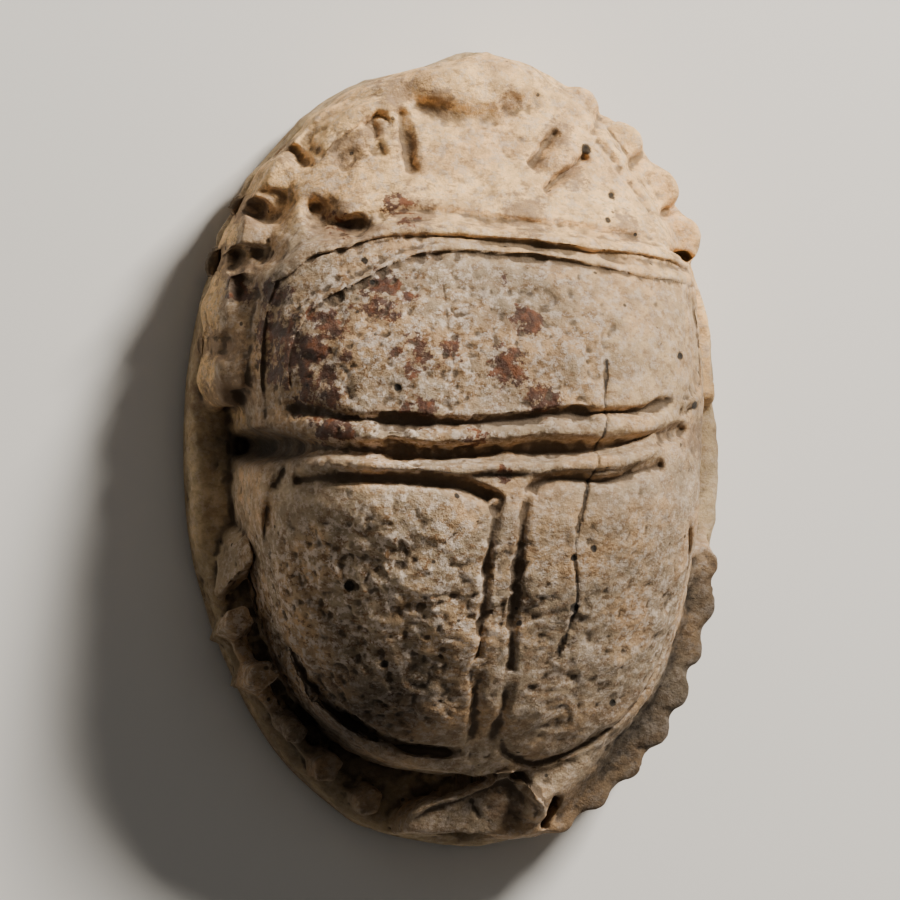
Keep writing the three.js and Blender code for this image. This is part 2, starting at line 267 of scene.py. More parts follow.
def newObject(name, vertices, faces, edges=()):
    mesh = bpy.data.meshes.new(name)
    mesh.from_pydata([tuple(v) for v in vertices], edges, faces)
    mesh.update()
    piece = bpy.data.objects.new(name, mesh)
    bpy.context.scene.collection.objects.link(piece)
    return piece

def makeBlank(rings=300, spokes=960):
    # closed blank: rings of the upper face, a rounded rim and a flat underside
    angle = np.arange(spokes) / spokes * 2 * math.pi
    power = 2 / form["ovalPower"]
    edgeX = form["halfWidth"] * np.sign(np.cos(angle)) * np.abs(np.cos(angle)) ** power
    edgeY = form["halfLength"] * np.sign(np.sin(angle)) * np.abs(np.sin(angle)) ** power
    shrunk = 1 - rimInset(edgeX, edgeY) / np.hypot(edgeX, edgeY)
    edgeX, edgeY = edgeX * shrunk, edgeY * shrunk
    share = np.arange(1, rings + 1) / rings
    x = np.outer(share, edgeX).ravel()
    y = np.outer(share, edgeY).ravel()
    height, rimGap = mainHeight(x, y)
    # true gap to the rim, measured along the spoke
    gap = (1 - np.repeat(share, spokes)) * np.tile(np.hypot(edgeX, edgeY), rings)
    z = rimRounded(height, gap)
    rows = [np.column_stack([x, y, z])]
    r = form["rimRound"]
    for turn in np.linspace(0, math.pi / 2, 5):
        inset = r * (1 - math.cos(turn))
        shrink = 1 - inset / np.hypot(edgeX, edgeY)
        rows.append(np.column_stack([edgeX * shrink, edgeY * shrink,
            np.full(spokes, r * (1 - math.sin(turn)))]))
    for share in (0.66, 0.33):
        rows.append(np.column_stack([edgeX * share, edgeY * share, np.zeros(spokes)]))
    top = mainHeight(np.array([0.0]), np.array([0.0]))[0][0]
    vertices = np.vstack([[0, 0, top], *rows, [0, 0, 0]])
    count = (len(vertices) - 2) // spokes
    nextSpoke = (np.arange(spokes) + 1) % spokes
    faces = [(0, 1 + i, 1 + nextSpoke[i]) for i in range(spokes)]
    base = 1 + np.arange(count - 1)[:, None] * spokes
    here, there = np.arange(spokes)[None, :], nextSpoke[None, :]
    quads = np.stack([base + here, base + spokes + here, base + spokes + there, base + there], axis=2)
    faces += quads.reshape(-1, 4).tolist()
    last = len(vertices) - 1
    faces += [(last, last - spokes + nextSpoke[i], last - spokes + i) for i in range(spokes)]
    return newObject("blank", vertices, faces)

# legs, by Geometry Nodes

legs = {
    # path of the tooth centres from the front of each leg backwards: x, y, height of the leg's top
    "foreRight": {"path": [(2.84, 8.5, 3.12), (3.82, 7.76, 3.14), (4.68, 6.68, 3.1), (5.4, 5.3, 3.05)],
                  "teeth": 4, "length": 0.74, "width": 0.8, "shaft": 0.9, "drop": 0.1, "uneven": 0.04,
                  "sides": 20, "seed": 3},
    "foreLeft": {"path": [(-3.5, 8.1, 3.1), (-4.75, 6.75, 3.3), (-5.55, 5.4, 3.6), (-5.98, 3.65, 3.8),
            (-6.12, 1.75, 3.75)],
                 "teeth": 5, "length": 0.8, "width": 0.5, "shaft": 0.8, "drop": 0.1, "uneven": 0.04,
                 "sides": 20, "seed": 5},
    "hindRight": {"path": [(6.02, -2.87, 3.1), (5.95, -3.84, 3.12), (5.62, -4.85, 3.12), (5.25, -5.9, 3.12),
            (4.66, -7.02, 3.1), (3.88, -8.0, 3.05), (3.14, -8.62, 3.02), (2.35, -9.15, 3.0)],
                  "teeth": 8, "length": 0.6, "width": 0.68, "shaft": 0.8, "drop": 0.1, "uneven": 0.05,
                  "sides": 20, "seed": 11},
    "hindLeft": {"path": [(-5.8, -4.45, 3.2), (-5.12, -5.95, 3.4), (-4.22, -7.15, 3.0), (-3.35, -8.05, 2.8),
            (-2.5, -8.65, 2.6)],
                 "teeth": 5, "length": 0.36, "width": 0.46, "shaft": 0.36, "drop": 1.0, "uneven": 0.25,
                 "sides": 5, "seed": 14},
}

def treeInput(tree, name, kind, default):
    socket = tree.interface.new_socket(name=name, in_out="INPUT", socket_type=kind)
    if default is not None:
        socket.default_value = default
    return socket.identifier

def makeLegTree():
    # teeth set along a path, with a shaft that joins them
    tree = bpy.data.node_groups.new("toothedLeg", "GeometryNodeTree")
    tree.interface.new_socket(name="Geometry", in_out="INPUT", socket_type="NodeSocketGeometry")
    names = {
        "Teeth": ("NodeSocketInt", 6), "Sides": ("NodeSocketInt", 20), "Tooth Length": ("NodeSocketFloat",
                0.6),
        "Tooth Width": ("NodeSocketFloat", 0.6), "Tooth Height": ("NodeSocketFloat", 1.3),
        "Shaft Width": ("NodeSocketFloat", 0.7), "Shaft Height": ("NodeSocketFloat", 1.0),
        "Unevenness": ("NodeSocketFloat", 0.12), "Seed": ("NodeSocketInt", 1),
        "Material": ("NodeSocketMaterial", None),
    }
    keys = {name: treeInput(tree, name, *rest) for name, rest in names.items()}
    tree.interface.new_socket(name="Geometry", in_out="OUTPUT", socket_type="NodeSocketGeometry")
    nodes, links = tree.nodes, tree.links
    given, out = nodes.new("NodeGroupInput"), nodes.new("NodeGroupOutput")

    def node(kind, settings=None, **inputs):
        made = nodes.new(kind)
        for key, value in (settings or {}).items():
            setattr(made, key, value)
        for key, value in inputs.items():
            numbered = key[0] == "i" and key[1:].isdigit()
            socket = made.inputs[int(key[1:]) if numbered else key.replace("_", " ")]
            if isinstance(value, bpy.types.NodeSocket):
                links.new(value, socket)
            else:
                socket.default_value = value
        return made

    curve = node("GeometryNodeMeshToCurve", Mesh=given.outputs["Geometry"]).outputs[0]
    curve = node("GeometryNodeResampleCurve", {"mode": "COUNT"}, Curve=curve, Count=60).outputs[0]
    # teeth: upright drums, a little narrower at the top
    drum = node("GeometryNodeMeshCone", Vertices=given.outputs["Sides"], Radius_Top=0.84, Radius_Bottom=1.0,
                Depth=2.0).outputs[0]
    drum = node("GeometryNodeTransform", Geometry=drum, Translation=(0, 1, 0), Rotation=(math.pi / 2, 0,
                0)).outputs[0]
    points = node("GeometryNodeCurveToPoints", {"mode": "COUNT"}, Curve=curve, Count=given.outputs["Teeth"])
    size = node("ShaderNodeCombineXYZ", X=given.outputs["Tooth Width"], Y=given.outputs["Tooth Height"],
                Z=given.outputs["Tooth Length"]).outputs[0]
    spread = node("ShaderNodeMath", {"operation": "SUBTRACT"}, i0=1.0,
                  i1=given.outputs["Unevenness"]).outputs[0]
    wider = node("ShaderNodeMath", {"operation": "ADD"}, i0=1.0, i1=given.outputs["Unevenness"]).outputs[0]
    random = node("FunctionNodeRandomValue", {"data_type": "FLOAT"}, Seed=given.outputs["Seed"])
    links.new(spread, random.inputs[2])
    links.new(wider, random.inputs[3])
    scaled = node("ShaderNodeVectorMath", {"operation": "SCALE"}, i0=size, Scale=random.outputs[1]).outputs[0]
    placed = node("GeometryNodeInstanceOnPoints", Points=points.outputs["Points"], Instance=drum,
                  Rotation=points.outputs["Rotation"], Scale=scaled).outputs[0]
    # shaft
    section = node("GeometryNodeCurvePrimitiveQuadrilateral", Width=given.outputs["Shaft Width"],
                   Height=given.outputs["Shaft Height"]).outputs[0]
    shaft = node("GeometryNodeCurveToMesh", Curve=curve, Profile_Curve=section, Fill_Caps=True).outputs[0]
    join = node("GeometryNodeJoinGeometry")
    links.new(placed, join.inputs[0])
    links.new(shaft, join.inputs[0])
    real = node("GeometryNodeRealizeInstances", Geometry=join.outputs[0]).outputs[0]
    done = node("GeometryNodeSetMaterial", Geometry=real, Material=given.outputs["Material"]).outputs[0]
    links.new(done, out.inputs[0])
    return tree, keys

def makeLeg(name, leg, tree, keys, material):
    path = np.array(leg["path"])
    depth = 1.15
    line = softLine(path)
    line[:, 2] -= depth
    piece = newObject(name, line, [], [(i, i + 1) for i in range(len(line) - 1)])
    modifier = piece.modifiers.new("leg", "NODES")
    modifier.node_group = tree
    values = {"Teeth": leg["teeth"], "Sides": leg["sides"], "Tooth Length": leg["length"],
              "Tooth Width": leg["width"],
              "Tooth Height": depth, "Shaft Width": leg["shaft"], "Shaft Height": 2 * (depth - leg["drop"]),
              "Unevenness": leg["uneven"], "Seed": leg["seed"], "Material": material}
    for key, value in values.items():
        modifier[keys[key]] = value
    shape = bpy.data.meshes.new_from_object(piece.evaluated_get(bpy.context.evaluated_depsgraph_get()))
    piece.modifiers.clear()
    piece.data = shape
    return piece

# joining, boring and meshing

def applied(piece, name, kind, **settings):
    modifier = piece.modifiers.new(name, kind)
    for key, value in settings.items():
        setattr(modifier, key, value)
    shape = bpy.data.meshes.new_from_object(piece.evaluated_get(bpy.context.evaluated_depsgraph_get()))
    piece.modifiers.clear()
    old = piece.data
    piece.data = shape
    bpy.data.meshes.remove(old)

bore = {"radius": 0.72, "height": 2.45, "sides": 48, "length": 24}

def makeBore():
    turn = np.arange(bore["sides"]) / bore["sides"] * 2 * math.pi
    ring = np.column_stack([bore["radius"] * np.cos(turn), bore["height"] + bore["radius"] * np.sin(turn)])
    ends = -bore["length"] / 2, bore["length"] / 2
    vertices = [(x, y, z) for y in ends for x, z in ring]
    n = bore["sides"]
    faces = [(i, n + i, n + (i + 1) % n, (i + 1) % n) for i in range(n)]
    faces += [tuple(range(n)), tuple(range(2 * n - 1, n - 1, -1))]
    return newObject("bore", vertices, faces)

mesher = {"voxel": 0.062, "mostTriangles": 194000}

def makeStone(material):
    piece = makeBlank()
    print("blank made", len(piece.data.vertices))
    tree, keys = makeLegTree()
    parts = [piece] + [makeLeg(name, leg, tree, keys, material) for name, leg in legs.items()]
    with bpy.context.temp_override(active_object=piece, object=piece, selected_objects=parts,
            selected_editable_objects=parts):
        bpy.ops.object.join()
    print("legs joined", len(piece.data.vertices))
    applied(piece, "skin", "REMESH", mode="VOXEL", voxel_size=mesher["voxel"], adaptivity=0)
    print("one skin", len(piece.data.vertices), len(piece.data.polygons))
    drill = makeBore()
    applied(piece, "hole", "BOOLEAN", operation="DIFFERENCE", solver="MANIFOLD", object=drill)
    bpy.data.objects.remove(drill)
    print("bored", len(piece.data.vertices), len(piece.data.polygons))
    return piece

# finer carving: lines cut or left standing on the back, in plan, as
# (kind, half width, depth or height, taper at the ends, points)

carving = [
    # front rim of the pronotum: two ridges with a line between and a step down to the neck
    ("ridge", 0.16, 0.23, 0, [(-5.3, 4.35), (-4.6, 4.92), (-3.7, 5.18), (-2.75, 5.45), (-1.3, 5.52),
        (0.2, 5.4), (1.7, 5.22), (3.1, 5.1), (4.6, 4.9), (5.65, 4.72)]),
    ("groove", 0.1, 0.09, 0.1, [(-3.6, 4.88), (-2.7, 5.18), (-1.3, 5.28), (0.2, 5.22), (1.7, 5.03),
        (3.1, 4.83), (4.6, 4.6), (5.7, 4.42)]),
    ("ridge", 0.12, 0.14, 0, [(-4.7, 3.48), (-4.25, 3.8), (-3.68, 4.12), (-2.84, 4.57), (-1.61, 4.99),
        (-0.37, 5.05), (1.15, 4.9), (2.74, 4.68), (4.19, 4.42), (5.75, 4.24)]),
    ("groove", 0.15, 0.08, 0.1, [(-3.0, 4.25), (-1.6, 4.78), (0, 4.85), (2.0, 4.6), (3.2, 4.45)]),
    ("groove", 0.2, 0.13, 0.05, [(-2.9, 5.82), (-2.0, 5.95), (-1.0, 5.86), (0.3, 5.72), (2.2, 5.52),
        (4.0, 5.3)]),
    # rims down the pronotum's sides, a double one on the left
    ("ridge", 0.12, 0.12, 0.1, [(-4.7, 3.48), (-5.04, 2.86), (-5.2, 2.24), (-5.21, 1.37)]),
    ("groove", 0.14, 0.12, 0.1, [(-5.0, 4.1), (-5.32, 3.2), (-5.45, 2.2), (-5.45, 1.3)]),
    ("ridge", 0.13, 0.16, 0.05, [(-5.3, 4.35), (-5.55, 3.6), (-5.68, 2.6), (-5.72, 1.6), (-5.68, 0.6)]),
    ("ridge", 0.13, 0.16, 0.05, [(5.62, 4.2), (5.7, 3.3), (5.72, 2.4), (5.66, 1.7), (5.3, 1.3),
        (4.7, 1.05)]),
    ("groove", 0.2, 0.11, 0.1, [(5.2, 4.1), (5.4, 3.3), (5.42, 2.4), (5.3, 1.75), (4.9, 1.45)]),
    # rear rim of the pronotum
    ("groove", 0.17, 0.32, 0.04, [(-5.3, 1.06), (-4.8, 0.97), (-3.75, 0.8), (-2.63, 0.74), (-1.47, 0.67),
        (-0.24, 0.72), (1.04, 0.86), (2.4, 0.92), (3.55, 1.0), (4.6, 1.3)]),
    ("ridge", 0.21, 0.13, 0.03, [(-5.65, 0.68), (-4.8, 0.56), (-3.75, 0.45), (-1.7, 0.37), (0.25, 0.47),
        (2.4, 0.6), (3.6, 0.62), (4.4, 0.75)]),
    # bar across the front of the wing cases and the groove behind it
    ("ridge", 0.24, 0.2, 0.03, [(-5.0, -0.35), (-4.4, -0.28), (-3.1, -0.33), (-1.5, -0.42), (0.2, -0.35),
        (2.1, -0.3), (3.2, -0.12), (4.1, 0.3)]),
    ("groove", 0.2, 0.44, 0.04, [(-5.05, -0.78), (-4.2, -0.7), (-2.67, -0.72), (-1.5, -0.86), (-0.6, -1.12),
        (-0.36, -1.35)]),
    ("groove", 0.2, 0.34, 0.05, [(0.48, -1.2), (0.66, -0.9), (1.3, -0.7), (2.3, -0.8), (3.2, -0.6),
        (4.2, -0.35)]),
    # the line down the middle, doubled, opening out at the front
    ("groove", 0.15, 0.2, 0.05, [(-0.36, -1.3), (-0.38, -1.7), (-0.44, -2.3), (-0.5, -3.0), (-0.49, -3.8),
        (-0.48, -4.7), (-0.5, -5.5), (-0.42, -6.3), (-0.3, -7.5)]),
    ("groove", 0.14, 0.18, 0.05, [(0.5, -1.15), (0.36, -1.6), (0.31, -2.5), (0.29, -3.7), (0.33, -4.7),
        (0.4, -5.7), (0.36, -6.4), (0.22, -7.2), (0.1, -7.8)]),
    # grooves inside the wing rims
    ("groove", 0.15, 0.5, 0.06, [(-5.38, -1.0), (-5.45, -2.0), (-5.36, -3.0), (-5.08, -4.1), (-4.72, -5.1),
        (-4.25, -5.9), (-3.55, -6.58), (-2.75, -7.06), (-1.9, -7.42), (-0.95, -7.6), (-0.35, -7.5)]),
    ("ridge", 0.2, 0.16, 0.04, [(-5.5, -0.35), (-5.72, -1.2), (-5.75, -2.2), (-5.55, -3.2), (-5.28, -4.2),
        (-4.9, -5.2), (-4.4, -6.1), (-3.7, -6.85), (-2.9, -7.35), (-2.0, -7.7), (-1.0, -7.85)]),
    ("groove", 0.14, 0.26, 0.06, [(4.95, -1.6), (5.2, -2.5), (5.12, -3.5), (4.95, -4.3), (4.65, -5.2),
        (4.25, -6.0), (3.75, -6.7), (3.0, -7.25), (2.2, -7.65), (1.4, -7.85), (0.7, -7.6), (0.3, -7.2)]),
    # head: behind the clypeus, beside the eyes, and the line round each cheek
    ("groove", 0.34, 0.17, 0.2, [(-1.85, 8.95), (-1.3, 8.55), (-0.5, 8.36), (0.4, 8.3), (1.1, 8.42),
        (1.6, 8.75), (1.8, 9.1)]),
    ("groove", 0.21, 0.27, 0.12, [(-1.78, 8.6), (-1.8, 8.1), (-1.75, 7.5), (-1.72, 6.85)]),
    ("groove", 0.2, 0.28, 0.2, [(-2.75, 8.3), (-2.55, 8.05), (-2.4, 7.75)]),
    ("groove", 0.17, 0.3, 0.15, [(2.2, 8.05), (1.8, 7.7), (1.5, 7.3), (1.2, 7.0)]),
    ("groove", 0.19, 0.34, 0.12, [(2.95, 7.45), (2.5, 7.15), (2.0, 6.8), (1.5, 6.35)]),
    ("ridge", 0.22, 0.22, 0.1, [(-1.95, 8.75), (-2.7, 8.6), (-3.4, 8.1), (-4.0, 7.5)]),
    ("groove", 0.2, 0.2, 0.1, [(-2.1, 8.95), (-3.0, 8.75), (-3.9, 8.1), (-4.4, 7.3)]),
    ("groove", 0.16, 0.16, 0.1, [(3.0, 8.0), (3.6, 7.3), (4.1, 6.5), (4.6, 5.6)]),
    ("groove", 0.07, 0.1, 0.1, [(3.5, 8.3), (4.15, 7.4), (4.6, 6.6), (5.0, 5.7)]),
    ("groove", 0.1, 0.32, 0.1, [(4.7, 5.05), (5.3, 4.95), (5.85, 4.85)]),
    # tail: raised edge, the line inside it and the slot on its right
    ("ridge", 0.14, 0.25, 0.05, [(-1.6, -9.25), (-1.2, -8.95), (-0.45, -8.7), (0.1, -8.45), (0.8, -8.22),
        (1.3, -8.5), (1.75, -8.98), (1.85, -9.4)]),
    ("groove", 0.1, 0.08, 0.3, [(0.05, -8.6), (0.15, -9.0), (0.4, -9.4)]),
    ("groove", 0.15, 0.98, 0.15, [(2.25, -8.65), (2.15, -9.1), (1.98, -9.6)]),
    # the lines down the middle widen near the tail
    ("groove", 0.2, 0.3, 0.4, [(-0.44, -5.3), (-0.4, -6.2), (-0.28, -7.5)]),
    ("groove", 0.18, 0.26, 0.4, [(0.4, -5.6), (0.3, -6.6), (0.12, -7.5)]),
    # line between the bar's left end and the shoulder of the wing case
    ("groove", 0.13, 0.3, 0.1, [(-5.05, 0.1), (-5.14, -0.4), (-5.38, -1.0)]),
    # the front rim steps down to the neck
    ("groove", 0.2, 0.12, 0.05, [(-4.9, 5.2), (-3.6, 5.62), (-2.75, 5.85), (-1.3, 5.9), (0.2, 5.78),
        (1.7, 5.6), (3.1, 5.45), (4.6, 5.2)]),
    # leg bands on the cheeks
    ("ridge", 0.25, 0.16, 0.2, [(-2.6, 8.95), (-3.6, 8.35), (-4.4, 7.6), (-4.9, 6.9)]),
    # teeth of the forelegs stand up from the leg, with cuts between them
    ("ridge", 0.46, 0.26, 0.3, [(-4.2, 6.6), (-4.85, 6.9), (-5.5, 7.15)]),
    ("ridge", 0.46, 0.3, 0.3, [(-4.9, 5.3), (-5.6, 5.5), (-6.2, 5.65)]),
    ("ridge", 0.4, 0.24, 0.3, [(-5.4, 4.45), (-6.0, 4.35), (-6.5, 4.2)]),
    ("ridge", 0.42, 0.24, 0.3, [(-5.75, 3.35), (-6.2, 3.3), (-6.7, 3.25)]),
    ("ridge", 0.42, 0.22, 0.3, [(-5.8, 1.95), (-6.3, 1.95), (-6.8, 1.9)]),
    ("groove", 0.2, 0.22, 0.25, [(3.0, 7.8), (3.35, 8.2), (3.7, 8.8)]),
    ("groove", 0.2, 0.22, 0.25, [(3.9, 6.9), (4.35, 7.3), (4.9, 7.8)]),
    ("groove", 0.2, 0.22, 0.25, [(4.6, 5.8), (5.15, 6.05), (5.7, 6.4)]),
    # eyes
    ("ridge", 0.24, 0.16, 0.3, [(-2.2, 8.4), (-2.15, 7.9), (-2.05, 7.3)]),
    ("ridge", 0.22, 0.14, 0.3, [(2.55, 7.85), (2.1, 7.35), (1.6, 6.9)]),
    # knife marks
    ("groove", 0.05, 0.04, 0.2, [(-1.4, 4.6), (-1.35, 2.7), (-1.28, 0.9)]),
    ("groove", 0.07, 0.11, 0.3, [(-1.72, -2.4), (-1.5, -2.2), (-1.28, -2.0)]),
]
crack = [
    (2.55, 2.2), (2.54, 1.79), (2.47, 1.24), (2.5, 0.74), (2.27, 0.0), (2.12, -0.49), (1.95, -0.99),
    (1.88, -1.36), (1.76, -1.85), (1.7, -2.35), (1.69, -2.72), (1.8, -3.2), (1.85, -3.72), (1.83, -4.1),
    (1.7, -4.6), (1.55, -5.1),
]
specks = [
    (2.83, 7.57, 0.17), (3.37, 6.38, 0.13), (3.11, 5.76, 0.1), (3.85, 5.4, 0.06), (-3.22, 4.7, 0.11),
    (-3.1, 4.15, 0.08), (-3.73, -3.37, 0.17), (-2.72, 1.53, 0.12), (-1.34, -1.13, 0.09),
    (2.18, -2.43, 0.12), (1.68, -2.67, 0.1), (3.29, -6.33, 0.1), (5.2, 1.1, 0.13), (4.78, 2.35, 0.12),
    (0.46, -4.3, 0.1), (-2.75, -5.3, 0.12), (-1.55, 9.65, 0.12), (1.82, -3.9, 0.14),
]

pits = [
    # hollows between the left foreleg's teeth and cut corners: centre, half sizes, turn in degrees, depth
    ((-4.62, 7.5), (0.6, 0.26), -30, 0.45), ((-5.42, 6.05), (0.5, 0.3), -20, 0.8), ((-6.05, 4.75), (0.5, 0.3),
                15, 0.95),
    ((-5.5, 4.95), (0.4, 0.2), 0, 0.3), ((-6.35, 2.6), (0.36, 0.4), 0, 0.6), ((-5.95, 4.15), (0.34, 0.24), 40,
                0.3),
    ((-2.3, 8.2), (0.45, 0.26), -55, 0.24), ((0.95, 8.7), (0.4, 0.3), -30, 0.1),
    ((5.55, 4.95), (0.4, 0.1), -12, 0.35), ((-0.35, -1.35), (0.22, 0.3), 0, 0.15), ((4.9, 1.0), (0.3, 0.16),
                25, 0.2),
    ((-3.3, 7.3), (0.5, 0.3), 20, 0.12), ((-2.6, 7.6), (0.4, 0.25), -40, 0.1), ((-5.7, 0.9), (0.3, 0.2), 0,
                0.2),
]

def carve(points):
    # moves the upper skin by the carved lines and pits
    x, y, z = points.T
    swayX = 0.04 * lumps(points, 1.1, 71)
    swayY = 0.04 * lumps(points, 1.0, 72)
    uneven = 1 + 0.25 * lumps(points, 0.6, 80)
    worth = np.clip(0.9 + 0.45 * grain(points, 1.5, 82, 2), 0.6, 1.2)
    lift = np.zeros(len(points))
    for kind, half, amount, taper, line in carving:
        away, share = toLine(x + swayX, y + swayY, line, half * 2 + 0.2)
        fade = smooth(0, taper, share) * smooth(0, taper, 1 - share) if taper else 1
        t = away / (half * uneven)
        if kind == "ridge":
            lift += amount * fade * np.sqrt(np.clip(1 - (t / 1.2) ** 2, 0, 1)) * smooth(1.2, 0.8, t)
        else:
            cut = amount * fade * np.where(y < 0, worth, 1) * smooth(1.25, 0.0, t)
            lift = lift * (1 - smooth(1.15, 0.4, t)) - cut * 1.15 if amount > 0.14 else lift - cut
    for (cx, cy), (halfX, halfY), turn, depth in pits:
        c, s = math.cos(math.radians(turn)), math.sin(math.radians(turn))
        dx, dy = x + swayX - cx, y + swayY - cy
        away = np.hypot((dx * c + dy * s) / halfX, (dy * c - dx * s) / halfY) + 0.3 * grain(points, 0.5, 75,
                2)
        lift -= depth * smooth(1.15, 0.5, away)
    away = toLine(x, y, crack, 0.4)[0]
    lift -= 0.1 * smooth(0.09, 0.02, away) * (0.6 + 0.6 * lumps(points, 0.5, 90))
    for cx, cy, radius in specks:
        lift -= radius * 0.5 * smooth(radius, radius * 0.2, np.hypot(x - cx, y - cy) + 0.06 * lumps(points,
                0.15, 77))
    clear = smooth(bore["radius"] + 0.02, bore["radius"] + 0.25, np.hypot(x, z - bore["height"]))
    points[:, 2] += lift * smooth(1.9, 2.3, z) * clear
    return points

worn = {
    # roughness of the skin by region: centre, reach and share
    "plain": 0.34,
    "rough": [((-2.9, -4.2), 3.9, 1.0), ((0, -3.5), 1.9, 0.85), ((-2.6, 2.4), 3.8, 0.9), ((0.8, 2.6), 2.6,
                0.7),
              ((2.8, -4.5), 3.8, 0.62), ((3.9, 2.5), 2.8, 0.34), ((-3.4, 6.2), 1.7, 0.45), ((-5.9, 2.6), 1.9,
                0.4),
              ((0, -9), 1.6, 0.5), ((4.6, -6.6), 2.4, 0.5), ((5.9, -3.6), 1.6, 0.5), ((-5.5, -5), 2.4, 0.5)],
    "lumps": 0.1, "grain": 0.08, "pitting": 0.06, "flakes": 0.1, "legLine": 1.72, "legCut": 0.14,
}

def roughnessAt(points):
    share = np.full(len(points), worn["plain"])
    for (cx, cy), reach, most in worn["rough"]:
        away = np.hypot(points[:, 0] - cx, points[:, 1] - cy)
        share = np.maximum(share, worn["plain"] + (most - worn["plain"]) * smooth(reach, reach * 0.5, away))
    return share

def wear(points, normals):
    # softened lumps, pitting and small lost flakes
    share = roughnessAt(points)
    above = smooth(0.2, 0.6, points[:, 2])
    fine = grain(points, 0.36, 30, 3)
    pitting = smooth(0.1, 0.6, grain(points, 0.26, 40, 2))
    flakes = smooth(0.2, 0.45, grain(points, 0.95, 50, 3))
    shift = worn["lumps"] * grain(points, 1.2, 20, 3) + share * (
        worn["grain"] * fine - worn["pitting"] * pitting - worn["flakes"] * flakes)
    # a cut line parts the legs from the slab below them
    x, y, z = points.T
    along = np.maximum(smooth(1.1, 1.5, y), smooth(-1.9, -2.4, y)) * smooth(0.9, 1.3, np.abs(x))
    line = np.exp(-((z - worn["legLine"]) / 0.13) ** 2) * smooth(0.6, 0.9, 1 - normals[:, 2] ** 2)
    shift -= worn["legCut"] * along * line * smooth(0.3, 0.1, ovalEdge(y) - np.abs(x) - 0.3)
    return points + normals * (shift * above)[:, None]

underside = {"border": 0.75, "lineHalf": 0.13, "depth": 0.16}

def engrave(points):
    # plain border line cut round the underside
    x, y, z = points.T
    power = form["ovalPower"]
    share = (np.abs(x / form["halfWidth"]) ** power + np.abs(y / form["halfLength"]) ** power) ** (1 / power)
    gap = np.hypot(x, y) * (1 / np.maximum(share, 0.01) - 1)
    cut = smooth(1, 0.3, np.abs(gap - underside["border"]) / underside["lineHalf"])
    points[:, 2] += np.where(z < 0.06, underside["depth"] * cut, 0)
    return points

def meshArrays(mesh):
    points = np.empty(len(mesh.vertices) * 3)
    mesh.vertices.foreach_get("co", points)
    normals = np.empty(len(mesh.vertices) * 3)
    mesh.vertices.foreach_get("normal", normals)
    return points.reshape(-1, 3), normals.reshape(-1, 3)

def putPoints(mesh, points):
    mesh.vertices.foreach_set("co", points.ravel())
    mesh.update()

def neighbourMean(mesh, values, rounds):
    edges = np.empty(len(mesh.edges) * 2, dtype=np.int64)
    mesh.edges.foreach_get("vertices", edges)
    a, b = edges[::2], edges[1::2]
    count = np.bincount(a, minlength=len(values)) + np.bincount(b, minlength=len(values))
    for _ in range(rounds):
        total = np.bincount(a, values[b], len(values)) + np.bincount(b, values[a], len(values))
        values = total / np.maximum(count, 1)
    return values

def soften(mesh, amount, rounds):
    points = meshArrays(mesh)[0]
    soft = np.column_stack([neighbourMean(mesh, points[:, i].copy(), rounds) for i in range(3)])
    putPoints(mesh, points + (soft - points) * amount[:, None])

def softenLegs(mesh):
    # rounds the legs' edges where they stand beside the body
    x, y, z = meshArrays(mesh)[0].T
    beside = np.maximum(smooth(-0.1, -0.3, bodyEdge(x, y) - np.abs(x)), smooth(5.0, 5.6, y))
    beside *= 1 - 0.4 * smooth(0, -1, x) * smooth(0, -1, y)
    soften(mesh, np.clip(beside * smooth(0.4, 0.9, z), 0.3, 1), 6)

def softenNotch(mesh):
    # the deep notch at the waist's left end is worn smooth
    x, y, z = meshArrays(mesh)[0].T
    soften(mesh, smooth(0.6, 0.35, np.hypot((x + 5.3) / 1.7, y - 0.06)) * smooth(1.7, 2.0, z), 14)

def addAttribute(mesh, name, values):
    attribute = mesh.attributes.new(name, "FLOAT", "POINT")
    attribute.data.foreach_set("value", values.astype(np.float32))

# shader maths

class Wire:
    # a shader socket that takes part in ordinary arithmetic
    def __init__(self, tree, socket):
        self.tree, self.socket = tree, socket

    def math(self, operation, *values):
        return self.tree.node("ShaderNodeMath", {"operation": operation}, *values)

    def __add__(self, other):
        return self.math("ADD", self, other)

    def __radd__(self, other):
        return self.math("ADD", other, self)

    def __sub__(self, other):
        return self.math("SUBTRACT", self, other)

    def __rsub__(self, other):
        return self.math("SUBTRACT", other, self)

    def __mul__(self, other):
        return self.math("MULTIPLY", self, other)

    def __rmul__(self, other):
        return self.math("MULTIPLY", other, self)

    def __truediv__(self, other):
        return self.math("DIVIDE", self, other)

    def __rtruediv__(self, other):
        return self.math("DIVIDE", other, self)

    def over(self, low, high):
        # 0 below low, 1 above high, soft between
        if low > high:
            return 1 - self.over(high, low)
        settings = {"interpolation_type": "SMOOTHSTEP"}
        return self.tree.node("ShaderNodeMapRange", settings, self, low, high, 0.0, 1.0)

    def least(self, other):
        return self.math("MINIMUM", self, other)

